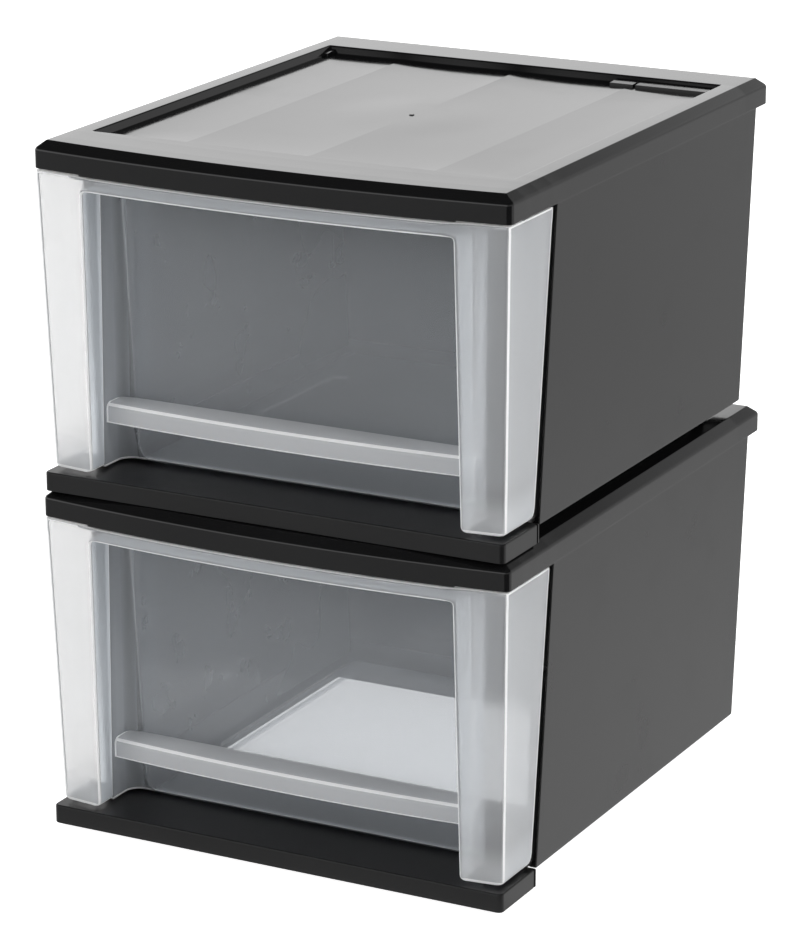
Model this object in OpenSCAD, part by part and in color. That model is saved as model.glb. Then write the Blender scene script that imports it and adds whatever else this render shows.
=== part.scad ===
// Two stackable drawer boxes, one standing on the other.
// Each box: a black case of three mouldings (top cover, side walls, base frame)
// and a drawer of two (clear tub, frosted front).
// A box is drawn with x = 0 on its centre line, y = 0 at the front corners of the
// rim and z = 0 on its top face. Front is -Y.

/* [Stack] */
// Height from the top of one box to the top of the next
pitch = 208; // [190:1:230]
// Air between the two boxes where one rests on the other
rest_gap = 0.3; // [0.1:0.05:0.6]
// How far the locating foot reaches below the ledge
foot_drop = 3; // [2:0.1:4]

/* [Top cover] */
// Width over the rim at the front
rim_w = 303.6; // [302:0.2:310]
// Depth from the rim's front corners to its back edge
rim_d = 356; // [345:1:370]
// How far the middle of the front bulges ahead of the corners
front_bow = 9.9; // [6:0.1:14]
// Height of the rim
rim_h = 16.2; // [14:0.1:18]
// Height of the slanted edge round the top
bevel_h = 4.6; // [3:0.1:5]
// Width of the slanted edge round the top
bevel_w = 6; // [3:0.1:7]
// How much narrower each side is at the back
rim_taper = 1; // [0:0.1:2]
// Radius of the rim's front upright corners
front_corner_r = 3.8; // [3:0.1:6]
// Radius of the rim's back upright corners
back_corner_r = 3.5; // [3:0.5:8]
// Wall thickness of the case mouldings
skin = 2.5; // [2:0.1:3]
// How much deeper the rim is between the pillars of the drawer front
brow_drop = 0.8; // [0.4:0.1:1]

/* [Recess in the cover] */
// Half width of the recess at the top face
recess_half = 134.5; // [132:0.5:137]
// Front edge of the recess
recess_front = 37; // [34:0.5:40]
// Back edge of the recess
recess_back = 321; // [315:0.5:325]
// Depth of the recess floor
recess_depth = 4.6; // [4:0.1:5.2]
// How far the walls of the recess lean in from the top face to the floor
recess_slope = 1.8; // [1:0.1:3]
// Depth of the raised shelves under the top face
shelf_drop = 2.1; // [1.6:0.1:2.6]
// Width of the raised shelves, front to back
shelf_w = 11.9; // [8:0.1:12.5]
// Left end of the long raised shelf along the back of the recess
shelf_left = 83; // [70:1:100]
// Left end of the short one beside it
short_shelf_left = 66; // [50:1:68]
// Radius of the moulding mark in the middle of the floor
gate_r = 1.4; // [1:0.1:2]

/* [Side walls] */
// Half width of the walls at the top
wall_top_half = 149.7; // [148:0.1:150.5]
// Half width of the walls at the bottom edge
wall_low_half = 144.5; // [143:0.1:146]
// Lower edge of the walls, below the top face
wall_low_z = -201.3; // [-203:0.1:-200]
// Front edge of the walls at the top
wall_front_top = 61.2; // [60:0.1:64]
// Front edge of the walls at the bottom
wall_front_low = 52.8; // [52:0.1:58]
// Back of the walls at the top
wall_back_top = 343.5; // [340:0.1:346]
// Back of the walls at the bottom
wall_back_low = 340; // [338:0.1:342]
// Thickness of the walls' front edge and of the lip under them
edge_w = 5; // [4:0.1:6]
// How far the thick front edge runs back
edge_d = 3; // [2:0.1:5]
// Front of the strips that reach forward from the walls
strip_front = 45; // [44.5:0.5:50]
// How far those strips stand in from the walls' outer faces
strip_in = 2; // [1.8:0.1:2.4]

/* [Base frame] */
// Half width of the front ledge
ledge_half = 149.3; // [148:0.1:152]
// Radius of the ledge's front corners
ledge_r = 3.4; // [3:0.1:6]
// Height of the front ledge
ledge_h = 11.4; // [10:0.1:13]
// Front face of the ledge
ledge_front = -2; // [-4:0.1:0]
// Back end of the ledge's sides
ledge_back = 42.6; // [42:0.1:43.5]
// Front of the narrow slot near the back of the ledge's sides
slot_front = 39.7; // [37:0.1:40]
// Width of that slot
slot_w = 1.7; // [1.4:0.1:2]
// Half width of the opening in the base
opening_half = 112; // [100:1:116]
// Front edge of the opening in the base
opening_front = 125; // [110:1:150]
// Back edge of the opening in the base
opening_back = 303; // [295:1:305]
// Depth of the tongue that narrows the opening at the back
tongue_d = 11; // [6:1:16]
// Left end of that tongue
tongue_left = -73; // [-90:1:-60]
// Radius of the opening's corners
opening_r = 10; // [6:1:12]
// Half width of the locating foot
foot_half = 125.5; // [120:0.5:126]
// Front of the locating foot
foot_front = 46; // [45:0.5:60]
// Back of the locating foot
foot_back = 308; // [306:0.5:310]

/* [Drawer front] */
// Air between the rim and the top of the drawer front
front_gap = 1; // [0.6:0.1:2]
// Lower edge of the drawer front, below the top face
front_low_z = -194.3; // [-195:0.1:-193]
// Half width of the drawer front at its upper edge
front_top_half = 150.6; // [149:0.1:151]
// Half width of the drawer front at its lower edge
front_low_half = 146.3; // [144:0.1:148]
// How far the lower corners lean back
front_lean = 6; // [4:0.1:8]
// Lower edge of the bar over the window
bar_low_z = -26; // [-28:0.1:-24]
// Half width between the pillars at the top
pillar_in_top = 118; // [117:0.1:119]
// Half width between the pillars at the bottom
pillar_in_low = 119.6; // [119.4:0.1:122]
// Radius of the window opening's upper corners
frame_r = 2.2; // [1.6:0.1:5]
// Radius of the pillars' lower corners
foot_r = 2.6; // [1:0.2:4]
// Wall thickness of the drawer mouldings
thin = 2.2; // [1.8:0.1:2.5]
// Back edge of the side flanges at the top
flange_back_top = 53.8; // [50:0.1:55]
// Back edge of the side flanges at the bottom
flange_back_low = 42; // [40:0.1:48]
// Depth at which the frosted front ends and the clear tub starts
join_y = 17; // [14:0.5:18]

/* [Drawer tub] */
// Front face of the window
window_y = 36.5; // [34:0.1:38]
// Half width of the window
window_half = 119.2; // [117:0.1:120]
// Radius of the upright corners beside the window
window_r = 6; // [4:0.5:8]
// The same radius at the lower edge, under the pull lip
apron_r = 9; // [6:0.5:10]
// How far the apron under the pull lip leans back at its lower edge
apron_lean = 3.5; // [1:0.1:5]
// Top edge of the tub's walls
tub_top_z = -21; // [-23:0.1:-20]
// Half width of the tub at its top edge
tub_top_half = 118.5; // [116:0.1:119]
// Half width of the tub at its floor
tub_low_half = 109; // [106:0.1:112]
// Back of the tub at its top edge
tub_back_top = 304; // [280:1:305]
// Back of the tub at its floor
tub_back_low = 300; // [275:1:302]
// Inner face of the tub's floor
tub_floor_z = -192; // [-192.5:0.1:-190]
// Top of the pull lip
lip_top_z = -156; // [-165:0.5:-150]
// Height of the pull lip
lip_h = 12; // [9:0.5:14]
// How far the pull lip stands out at its ends
lip_out = 16.5; // [12:0.5:18]
// How much further the pull lip stands out in its middle
lip_bow = 5; // [3:0.5:6]
// Radius of the pull lip's front edge
lip_r = 4; // [2.5:0.5:5]

/* [Hidden] */
$fn = 96;
over = 0.1;
far = 500;
case_black = [0.03, 0.03, 0.033];
frosted = [0.86, 0.88, 0.9, 0.8];
clear = [0.75, 0.8, 0.84, 0.35];

// The whole stack stands on z = 0 with its footprint centred on the origin.
stack_mid_y = (rim_d - front_bow) / 2;
ledge_low_z = -(pitch - rest_gap);
lower_top_z = -ledge_low_z + foot_drop;
upper_top_z = lower_top_z + pitch;

rim_half = rim_w / 2;
bow_r = (pow(rim_half, 2) + pow(front_bow, 2)) / (2 * front_bow);
bow_y = bow_r - front_bow;
bow_angle = asin(rim_half / bow_r);

ledge_top_z = ledge_low_z + ledge_h;
plate_low_z = ledge_top_z - skin;
strip_low_z = ledge_top_z + rest_gap;
foot_low_z = ledge_low_z - foot_drop;
plate_half = wall_low_half - skin - rest_gap;
plate_back = wall_back_low - skin - rest_gap;

front_top_z = -rim_h - front_gap;
low_face_r = norm([front_low_half, bow_y - front_lean]);
pull_r = (pow(window_half, 2) + pow(lip_bow, 2)) / (2 * lip_bow);
pull_y = window_y - lip_out - lip_bow + pull_r;
tub_under_z = tub_floor_z - thin;
runner_h = tub_under_z - ledge_top_z - rest_gap;

// A profile in x and z, drawn out along y from y0 to y1.
module along_y(y0, y1) {
    translate([0, y1, 0]) rotate([90, 0, 0]) linear_extrude(y1 - y0) children();
}

// A profile in y and z, drawn out along x from x0 to x1.
module along_x(x0, x1) {
    translate([x0, 0, 0]) rotate([90, 0, 90]) linear_extrude(x1 - x0) children();
}

// A block from one corner to the opposite one.
module block(low, high) {
    translate(low) cube(high - low);
}

// A profile symmetric about x = 0, wider or narrower at the bottom than at the top.
module taper_profile(top_half, low_half, top_z, low_z) {
    polygon([[-top_half, top_z], [top_half, top_z], [low_half, low_z], [-low_half, low_z]]);
}

// The rim seen from above, drawn in by inset all round.
module rim_plan(inset = 0) {
    half = rim_half - inset;
    front_r = max(front_corner_r - inset, 0.5);
    back_r = max(back_corner_r - inset, 0.5);
    turn_x = half - front_r;
    turn_y = bow_y - sqrt(pow(bow_r - inset, 2) - pow(turn_x, 2)) + front_r / cos(bow_angle);
    back = rim_d - inset;
    intersection() {
        translate([0, bow_y]) circle(r = bow_r - inset, $fn = 720);
        polygon([[-half, -far], [half, -far], [half, 0], [half - rim_taper, back],
                 [-half + rim_taper, back], [-half, 0]]);
        union() {
            translate([-turn_x, -far / 2]) square([2 * turn_x, far * 2]);
            translate([-half, turn_y]) square([2 * half, far * 2]);
            for (side = [-1, 1]) translate([side * turn_x, turn_y]) circle(r = front_r);
        }
        union() {
            translate([-(half - back_r), -far / 2]) square([2 * (half - back_r), far * 2]);
            translate([-half, -far / 2]) square([2 * half, far / 2 + back - back_r]);
            for (side = [-1, 1]) translate([side * (half - back_r), back - back_r]) circle(r = back_r);
        }
    }
}

// Everything inside the slanted edge that runs round the top.
module bevelled_room() {
    intersection() {
        translate([0, bow_y, -bevel_h]) cylinder(h = bevel_h, r1 = bow_r, r2 = bow_r - bevel_w, $fn = 720);
        along_y(-far, far)
            taper_profile(rim_half - bevel_w, rim_half, 0, -bevel_h);
        along_x(-far, far)
            polygon([[-far, 0], [rim_d - bevel_w, 0], [rim_d, -bevel_h], [-far, -bevel_h]]);
    }
}

// Room for the foot of the box above, cut down by drop below the outline.
module recess_room(grow, drop) {
    half = recess_half + grow;
    front = recess_front - grow;
    back = recess_back + grow;
    low_z = -recess_depth - drop;
    intersection() {
        along_y(front, back)
            polygon([[-half, over], [half, over], [half, 0], [half - recess_slope, low_z],
                     [-half + recess_slope, low_z], [-half, 0]]);
        along_x(-half, half)
            polygon([[front, over], [back, over], [back, 0], [back - recess_slope, low_z],
                     [front + recess_slope, low_z], [front, 0]]);
    }
}

// Raised shelves along the back of the recess: one long and one short at the right,
// and a stub in the left corner.
module recess_shelves() {
    side = recess_half + over;
    for (ends = [[short_shelf_left, shelf_left - 1.5], [shelf_left, side], [-side, 5 - recess_half]])
        block([ends[0], recess_back - shelf_w, -recess_depth - over],
              [ends[1], recess_back + over, -shelf_drop]);
}

// The part of the front skirt that hangs lower, between the pillars.
module brow() {
    intersection() {
        difference() {
            translate([0, 0, -rim_h - brow_drop]) linear_extrude(brow_drop + 1) rim_plan();
            translate([0, 0, -rim_h - brow_drop - over]) linear_extrude(brow_drop + 2) rim_plan(skin);
        }
        block([-window_half, -far, -far], [window_half, join_y, 0]);
    }
}

module top_cover() {
    color(case_black) difference() {
        union() {
            difference() {
                translate([0, 0, -rim_h]) linear_extrude(rim_h - bevel_h) rim_plan();
                translate([0, 0, -rim_h - over])
                    linear_extrude(rim_h - bevel_h + 2 * over) rim_plan(skin);
            }
            intersection() {
                translate([0, 0, -bevel_h - skin]) linear_extrude(bevel_h + skin) rim_plan();
                union() {
                    bevelled_room();
                    translate([0, 0, -bevel_h - skin - over]) linear_extrude(skin + over + over) rim_plan();
                }
            }
            intersection() {
                recess_room(skin, skin);
                translate([0, 0, -rim_h]) linear_extrude(rim_h - over) rim_plan(skin / 2);
            }
            brow();
        }
        difference() {
            recess_room(0, 0);
            recess_shelves();
            translate([-2, (recess_front + recess_back) / 2, -recess_depth - over])
                cylinder(h = 0.6, r = gate_r);
        }
    }
}

// The size of the walls at height z, between its values at the top and the bottom.
function wall_at(z, top, low) = low + (top - low) * (z - wall_low_z) / (-rim_h - wall_low_z);

// The walls' shape from top_z down to low_z, drawn in by side, front and back.
module wall_room(side, front, back, top_z, low_z) {
    intersection() {
        along_y(-far, far)
            taper_profile(wall_at(top_z, wall_top_half, wall_low_half) - side,
                          wall_at(low_z, wall_top_half, wall_low_half) - side, top_z, low_z);
        along_x(-far, far)
            polygon([[wall_at(top_z, wall_front_top, wall_front_low) + front, top_z],
                     [wall_at(top_z, wall_back_top, wall_back_low) - back, top_z],
                     [wall_at(low_z, wall_back_top, wall_back_low) - back, low_z],
                     [wall_at(low_z, wall_front_top, wall_front_low) + front, low_z]]);
    }
}

// Two sides and a back in one moulding, with an inward lip under the base frame.
module side_walls() {
    color(case_black) {
        difference() {
            wall_room(0, 0, 0, -rim_h, wall_low_z);
            wall_room(skin, edge_d, skin, -rim_h + over, plate_low_z);
            wall_room(edge_w, -over, skin + edge_w, -rim_h + over, wall_low_z - over);
            // slot for the base plate through the thick front edge
            wall_room(skin, -over, skin, strip_low_z, plate_low_z);
        }
        front_strips();
    }
}

// Strips ahead of the walls, inside the flanges of the drawer front.
module front_strips() {
    join_low = wall_at(strip_low_z, wall_front_top, wall_front_low) + over;
    intersection() {
        difference() {
            wall_room(strip_in, -far, 0, -rim_h, strip_low_z);
            wall_room(strip_in + skin, -far, 0, -rim_h + over, strip_low_z - over);
        }
        along_x(-far, far)
            polygon([[strip_front, -rim_h], [wall_front_top + over, -rim_h],
                     [join_low, strip_low_z], [strip_front, strip_low_z]]);
    }
}

module base_frame() {
    color(case_black) {
        ledge();
        difference() {
            block([-plate_half, ledge_back - over, plate_low_z], [plate_half, plate_back, ledge_top_z]);
            translate([0, 0, plate_low_z - over]) linear_extrude(skin + 2 * over) base_opening();
        }
        foot();
    }
}

module base_opening() {
    half = opening_half - opening_r;
    difference() {
        union() {
            translate([-half, opening_front]) square([2 * half, opening_back - opening_front]);
            translate([-opening_half, opening_front + opening_r])
                square([2 * opening_half, opening_back - opening_front - 2 * opening_r]);
            for (x = [-half, half], y = [opening_front + opening_r, opening_back - opening_r])
                translate([x, y]) circle(r = opening_r);
        }
        translate([tongue_left, opening_back - tongue_d]) square([far, far]);
    }
}

// Ledge in front of the drawer, hollow from below.
module ledge() {
    difference() {
        translate([0, 0, ledge_low_z]) linear_extrude(ledge_h) ledge_plan(0);
        translate([0, 0, ledge_low_z - over]) linear_extrude(ledge_h - skin + over) ledge_plan(skin);
        for (side = [-1, 1])
            block([side * ledge_half - skin / 2, slot_front, ledge_low_z - over],
                  [side * ledge_half + skin / 2, slot_front + slot_w, ledge_top_z + over]);
    }
}

module ledge_plan(inset) {
    half = ledge_half - inset;
    front_r = ledge_r - inset;
    turn_y = ledge_front + inset + front_r;
    translate([-half, turn_y]) square([2 * half, ledge_back - inset - turn_y]);
    translate([-half + front_r, ledge_front + inset]) square([2 * (half - front_r), 2 * front_r]);
    for (side = [-1, 1]) translate([side * (half - front_r), turn_y]) circle(r = front_r);
}

// Upright ribs: a ring that drops into the recess below, and a bar at the back.
module foot() {
    difference() {
        block([-foot_half, foot_front, foot_low_z], [foot_half, foot_back, plate_low_z + over]);
        block([-foot_half + skin, foot_front + skin, foot_low_z - over],
              [foot_half - skin, foot_back - skin, plate_low_z + 2 * over]);
    }
    block([-foot_half, foot_back + 18, ledge_low_z], [foot_half, foot_back + 18 + skin, plate_low_z + over]);
}

// Everything behind the bowed, leaning face of the drawer front.
module behind_face(inset) {
    translate([0, bow_y, front_low_z - over])
        cylinder(h = front_top_z - front_low_z + 2 * over,
                 r1 = low_face_r - inset, r2 = bow_r - inset, $fn = 720);
}

module pillar_opening(grow) {
    offset(frame_r) offset(-frame_r)
        polygon([[-pillar_in_top - grow, bar_low_z + grow], [pillar_in_top + grow, bar_low_z + grow],
                 [pillar_in_low + grow, front_low_z - 2 * frame_r],
                 [-pillar_in_low - grow, front_low_z - 2 * frame_r]]);
}

// Front view of the drawer front: a bar over two pillars, wider at the top.
module front_outline() {
    offset(foot_r) offset(-foot_r) difference() {
        taper_profile(front_top_half, front_low_half, front_top_z + foot_r, front_low_z);
        pillar_opening(0);
    }
}

// The inner faces of the side flanges, seen from the front.
module inner_outline() {
    taper_profile(front_top_half - thin, front_low_half - thin, front_top_z + over, front_low_z - over);
}

// A shell that follows the outline: bowed face, side flanges and returns to the window.
module drawer_front() {
    color(frosted) difference() {
        intersection() {
            behind_face(0);
            along_y(-far, flange_back_top) front_outline();
            along_x(-far, far) flange_profile();
        }
        // room inside the pillars, open to the back
        intersection() {
            behind_face(thin);
            along_y(-far, far) difference() {
                inner_outline();
                pillar_opening(thin);
            }
            block([-far, -far, front_low_z - 1], [far, far, front_top_z - thin]);
        }
        // the returns round the window end where the tub starts
        along_y(join_y, far) inner_outline();
        // room for the brow of the rim
        block([-window_half - 1, -far, front_top_z - brow_drop], [window_half + 1, far, front_top_z + over]);
    }
}

module flange_profile() {
    r = 7;
    low_back = flange_back_low - r;
    difference() {
        polygon([[-far, front_top_z], [flange_back_top, front_top_z],
                 [flange_back_low, front_low_z], [-far, front_low_z]]);
        difference() {
            translate([low_back, front_low_z - over]) square([2 * r, r + over]);
            translate([low_back, front_low_z + r]) circle(r = r);
        }
    }
}

// A block from join_y back to y1 with rounded back corners, seen from above.
module rounded_front(half, y1, r) {
    translate([-half, join_y]) square([2 * half, y1 - r - join_y]);
    translate([-half + r, join_y]) square([2 * (half - r), y1 - join_y]);
    for (side = [-1, 1]) translate([side * (half - r), y1 - r]) circle(r = r);
}

// The room in front of the window, made bigger by grow: upright down to the pull lip,
// then leaning back.
module window_room(grow, top_z, low_z) {
    half = window_half + grow;
    face_y = window_y + grow;
    mid_z = lip_top_z - thin;
    translate([0, 0, mid_z]) linear_extrude(top_z - mid_z) rounded_front(half, face_y, window_r + grow);
    hull() {
        translate([0, 0, mid_z - over / 2]) linear_extrude(over)
            rounded_front(half, face_y, window_r + grow, $fn = 32);
        translate([0, 0, low_z]) linear_extrude(over)
            rounded_front(half, face_y + apron_lean, apron_r + grow, $fn = 32);
    }
}

// The tub's body, drawn in by inset, with its floor at floor_z.
module tub_room(inset, floor_z, top_z) {
    r = 8 - inset;
    low_half = tub_low_half - inset;
    low_back = tub_back_low - inset;
    intersection() {
        along_y(window_y + thin - over, far) hull() {
            for (side = [-1, 1])
                translate([side * (low_half - r), floor_z + r]) circle(r = r, $fn = 32);
            translate([-tub_top_half + inset, top_z]) square([2 * (tub_top_half - inset), over]);
        }
        along_x(-far, far)
            polygon([[0, floor_z], [low_back, floor_z],
                     [tub_back_top - inset, top_z + over], [0, top_z + over]]);
    }
}

module pull_lip() {
    intersection() {
        translate([0, pull_y, 0]) rotate_extrude($fn = 720) {
            translate([pull_r - 30, lip_top_z - thin]) square([30 - lip_r, thin]);
            translate([pull_r - thin, lip_top_z - lip_h]) square([thin, lip_h - lip_r]);
            difference() {
                translate([pull_r - lip_r, lip_top_z - lip_r]) circle(r = lip_r);
                translate([pull_r - lip_r, lip_top_z - lip_r]) circle(r = lip_r - thin);
                translate([pull_r - 2 * lip_r, lip_top_z - 3 * lip_r]) square([lip_r, 4 * lip_r]);
                translate([pull_r - 2 * lip_r, lip_top_z - 3 * lip_r]) square([3 * lip_r, 2 * lip_r]);
            }
        }
        union() {
            block([-window_half, 0, -far], [window_half, join_y + over, 0]);
            translate([0, 0, -far]) linear_extrude(far) rounded_front(window_half, window_y + over, window_r);
        }
    }
}

module drawer_tub() {
    color(clear) {
        difference() {
            window_room(thin, bar_low_z, front_low_z);
            window_room(0, bar_low_z + over, front_low_z - over);
        }
        // top of the reveal
        block([-window_half - thin, join_y, bar_low_z - over],
              [window_half + thin, window_y + thin, bar_low_z + thin]);
        pull_lip();
        difference() {
            tub_room(0, tub_under_z, tub_top_z - over);
            tub_room(thin, tub_floor_z, tub_top_z);
        }
        // runners under the floor
        for (side = [-1, 1])
            block([side * 98 - 1.5, window_y + 10, tub_under_z - runner_h],
                  [side * 98 + 1.5, tub_back_low - 10, tub_under_z + over]);
    }
}

module on_lower() {
    translate([0, -stack_mid_y, lower_top_z]) children();
}

module on_upper() {
    translate([0, -stack_mid_y, upper_top_z]) children();
}

module lower_top_cover() { on_lower() top_cover(); }
module lower_side_walls() { on_lower() side_walls(); }
module lower_base_frame() { on_lower() base_frame(); }
module lower_drawer_tub() { on_lower() drawer_tub(); }
module lower_drawer_front() { on_lower() drawer_front(); }
module upper_top_cover() { on_upper() top_cover(); }
module upper_side_walls() { on_upper() side_walls(); }
module upper_base_frame() { on_upper() base_frame(); }
module upper_drawer_tub() { on_upper() drawer_tub(); }
module upper_drawer_front() { on_upper() drawer_front(); }

lower_top_cover();
lower_side_walls();
lower_base_frame();
lower_drawer_tub();
lower_drawer_front();
upper_top_cover();
upper_side_walls();
upper_base_frame();
upper_drawer_tub();
upper_drawer_front();
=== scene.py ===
import math

import bmesh
import bpy
from mathutils import Euler, Matrix, Vector


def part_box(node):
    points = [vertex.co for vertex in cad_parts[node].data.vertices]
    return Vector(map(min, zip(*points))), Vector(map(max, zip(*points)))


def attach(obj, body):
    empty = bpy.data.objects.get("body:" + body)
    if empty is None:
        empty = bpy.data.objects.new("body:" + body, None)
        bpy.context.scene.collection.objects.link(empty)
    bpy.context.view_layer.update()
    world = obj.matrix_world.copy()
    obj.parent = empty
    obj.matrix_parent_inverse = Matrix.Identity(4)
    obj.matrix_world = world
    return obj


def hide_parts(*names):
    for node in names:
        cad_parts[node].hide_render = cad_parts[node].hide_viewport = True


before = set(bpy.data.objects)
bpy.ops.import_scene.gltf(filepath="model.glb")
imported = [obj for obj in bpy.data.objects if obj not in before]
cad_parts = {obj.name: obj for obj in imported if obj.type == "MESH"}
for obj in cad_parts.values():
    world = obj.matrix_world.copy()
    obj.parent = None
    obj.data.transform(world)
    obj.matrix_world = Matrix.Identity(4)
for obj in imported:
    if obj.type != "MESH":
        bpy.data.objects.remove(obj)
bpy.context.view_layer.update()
tiers = ["lower", "upper"]
mm = 0.001
weldReach = 0.02 * mm                           # points of one shell closer than this become one
sharpFrom = math.radians(34)                    # edges that turn more than this stay sharp
overlap = 0.05                                  # plates and ribs of one moulding reach into each other
crease = 0.01                                   # two points this close make a sharp bend
print("frame loaded:", len(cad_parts), "nodes")


# outlines are in millimetres, in each box's own frame
def arcPoints(cx, cy, radius, start, end, steps):
    angles = [start + (end - start) * i / steps for i in range(steps + 1)]
    return [(cx + radius * math.cos(a), cy + radius * math.sin(a)) for a in angles]


def roundPath(points, closed=False, steps=5):
    # each point is (u, v) or (u, v, radius); rounded points become arcs of equal step counts
    out = []
    count = len(points)
    for i, point in enumerate(points):
        here = Vector(point[:2])
        radius = point[2] if len(point) > 2 else 0
        if radius == 0 or (not closed and i in (0, count - 1)):
            out.append((here.x, here.y))
            continue
        toPrev = (Vector(points[i - 1][:2]) - here).normalized()
        toNext = (Vector(points[(i + 1) % count][:2]) - here).normalized()
        half = toPrev.angle(toNext) / 2
        reach = radius / math.tan(half)
        centre = here + (toPrev + toNext).normalized() * (radius / math.sin(half))
        first = here + toPrev * reach - centre
        turn = first.angle_signed(here + toNext * reach - centre)
        for k in range(steps + 1):
            spoke = Matrix.Rotation(-turn * k / steps, 2) @ first
            out.append((centre.x + spoke.x, centre.y + spoke.y))
    return out


def spread(start, end, count):
    return [start + (end - start) * i / (count - 1) for i in range(count)]


class Shell:                                    # a mesh that grows row by row
    def __init__(self, name, origin):
        self.name = name
        self.origin = origin                    # where the box's own zero lies, in metres
        self.bm = bmesh.new()

    def row(self, points):
        return [self.bm.verts.new(self.origin + Vector(p) * mm) for p in points]

    def loft(self, rings, closed=True, capStart=False, capEnd=False, edge=None):
        # edge(row, column) gives a face's place in the list of materials
        rows = [self.row(ring) for ring in rings]
        for r, (low, high) in enumerate(zip(rows, rows[1:])):
            count = len(low)
            for i in range(count if closed else count - 1):
                j = (i + 1) % count
                face = self.bm.faces.new((low[i], low[j], high[j], high[i]))
                if edge:
                    face.material_index = int(edge(r, i))
        if capStart:
            self.bm.faces.new(rows[0][::-1])
        if capEnd:
            self.bm.faces.new(rows[-1])

    def finish(self, materials, thickness=0, thickSide=-1, rim=-1):
        # thickness grows to one side of the sheet; rim is the place of its cut edges' material
        bmesh.ops.remove_doubles(self.bm, verts=self.bm.verts, dist=weldReach)
        bmesh.ops.recalc_face_normals(self.bm, faces=self.bm.faces)
        mesh = bpy.data.meshes.new(self.name)
        for edge in self.bm.edges:
            if len(edge.link_faces) == 2:
                edge.smooth = edge.calc_face_angle(0) < sharpFrom and not edge.seam
        for face in self.bm.faces:
            face.smooth = True
        self.bm.to_mesh(mesh)
        self.bm.free()
        for material in materials:
            mesh.materials.append(material)
        piece = bpy.data.objects.new(self.name, mesh)
        bpy.context.scene.collection.objects.link(piece)
        if thickness:
            solid = piece.modifiers.new("wall", "SOLIDIFY")
            solid.thickness = thickness * mm
            solid.offset = thickSide
            solid.use_even_offset = True
            solid.material_offset_rim = rim % len(materials)
        weights = piece.modifiers.new("even shading", "WEIGHTED_NORMAL")
        weights.keep_sharp = True
        return piece


def originOf(tier):
    low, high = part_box(tier + "_top_cover")
    return Vector((0, low[1] + cover["frontBow"] * mm, high[2]))


class Wire:                                     # an output socket that can be used in sums
    def __init__(self, sheet, socket):
        self.sheet, self.socket = sheet, socket

    def calc(self, operation, left, right):
        made = self.sheet.node("ShaderNodeMath", {"operation": operation}, {0: left, 1: right})
        return Wire(self.sheet, made.outputs[0])

    def __add__(self, other):
        return self.calc("ADD", self, other)

    def __radd__(self, other):
        return self.calc("ADD", other, self)

    def __sub__(self, other):
        return self.calc("SUBTRACT", self, other)

    def __rsub__(self, other):
        return self.calc("SUBTRACT", other, self)

    def __mul__(self, other):
        return self.calc("MULTIPLY", self, other)

    def __rmul__(self, other):
        return self.calc("MULTIPLY", other, self)

    def __truediv__(self, other):
        return self.calc("DIVIDE", self, other)

    def whole(self):
        return self.calc("FLOOR", self, 0.0)

    def size(self):
        return self.calc("ABSOLUTE", self, 0.0)

    def root(self):
        return self.calc("SQRT", self, 0.0)


class Sheet:                                    # the node tree of one material or world
    def __init__(self, owner):
        owner.use_nodes = True
        self.owner, self.tree = owner, owner.node_tree
        self.tree.nodes.clear()

    def node(self, kind, settings=None, inputs=None):
        made = self.tree.nodes.new(kind)
        for key, value in (settings or {}).items():
            setattr(made, key, value)
        for key, value in (inputs or {}).items():
            if isinstance(value, Wire):
                self.tree.links.new(value.socket, made.inputs[key])
            elif isinstance(value, bpy.types.NodeSocket):
                self.tree.links.new(value, made.inputs[key])
            else:
                made.inputs[key].default_value = value
        return made

    def fact(self, kind, output=0, settings=None, inputs=None):
        # a number that a node knows, such as one about the ray or the surface
        return Wire(self, self.node(kind, settings, inputs).outputs[output])

    def place(self, axis):                      # one coordinate of the piece, in metres
        where = self.node("ShaderNodeTexCoord")
        split = self.node("ShaderNodeSeparateXYZ", None, {0: where.outputs["Object"]})
        return Wire(self, split.outputs["XYZ".index(axis)])

    def noise(self, scale, detail=2.0, stretch=(1, 1, 1), roughness=0.5):
        where = self.node("ShaderNodeTexCoord")
        mapped = self.node("ShaderNodeMapping", None, {"Vector": where.outputs["Object"], "Scale": stretch})
        return self.fact("ShaderNodeTexNoise", 0, None, {
            "Vector": mapped.outputs[0], "Scale": scale, "Detail": detail, "Roughness": roughness})

    def ramp(self, value, low, high, outLow=0.0, outHigh=1.0, curve="SMOOTHSTEP"):
        return self.fact("ShaderNodeMapRange", 0, {"clamp": True, "interpolation_type": curve}, {
            0: value, 1: low, 2: high, 3: outLow, 4: outHigh})

    def mixColour(self, factor, first, second):
        made = self.node("ShaderNodeMix", {"data_type": "RGBA"}, {0: factor, 6: first, 7: second})
        return made.outputs[2]

    def bump(self, height, strength, distance, under=None):
        inputs = {"Height": height, "Strength": strength, "Distance": distance}
        if under:
            inputs["Normal"] = under
        return self.node("ShaderNodeBump", None, inputs).outputs[0]

    def blend(self, share, first, second):
        return self.node("ShaderNodeMixShader", None, {0: share, 1: first, 2: second}).outputs[0]

    def output(self, socket):
        world = isinstance(self.owner, bpy.types.World)
        last = self.node("ShaderNodeOutputWorld" if world else "ShaderNodeOutputMaterial")
        self.tree.links.new(socket, last.inputs[0])
        return self.owner


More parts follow.
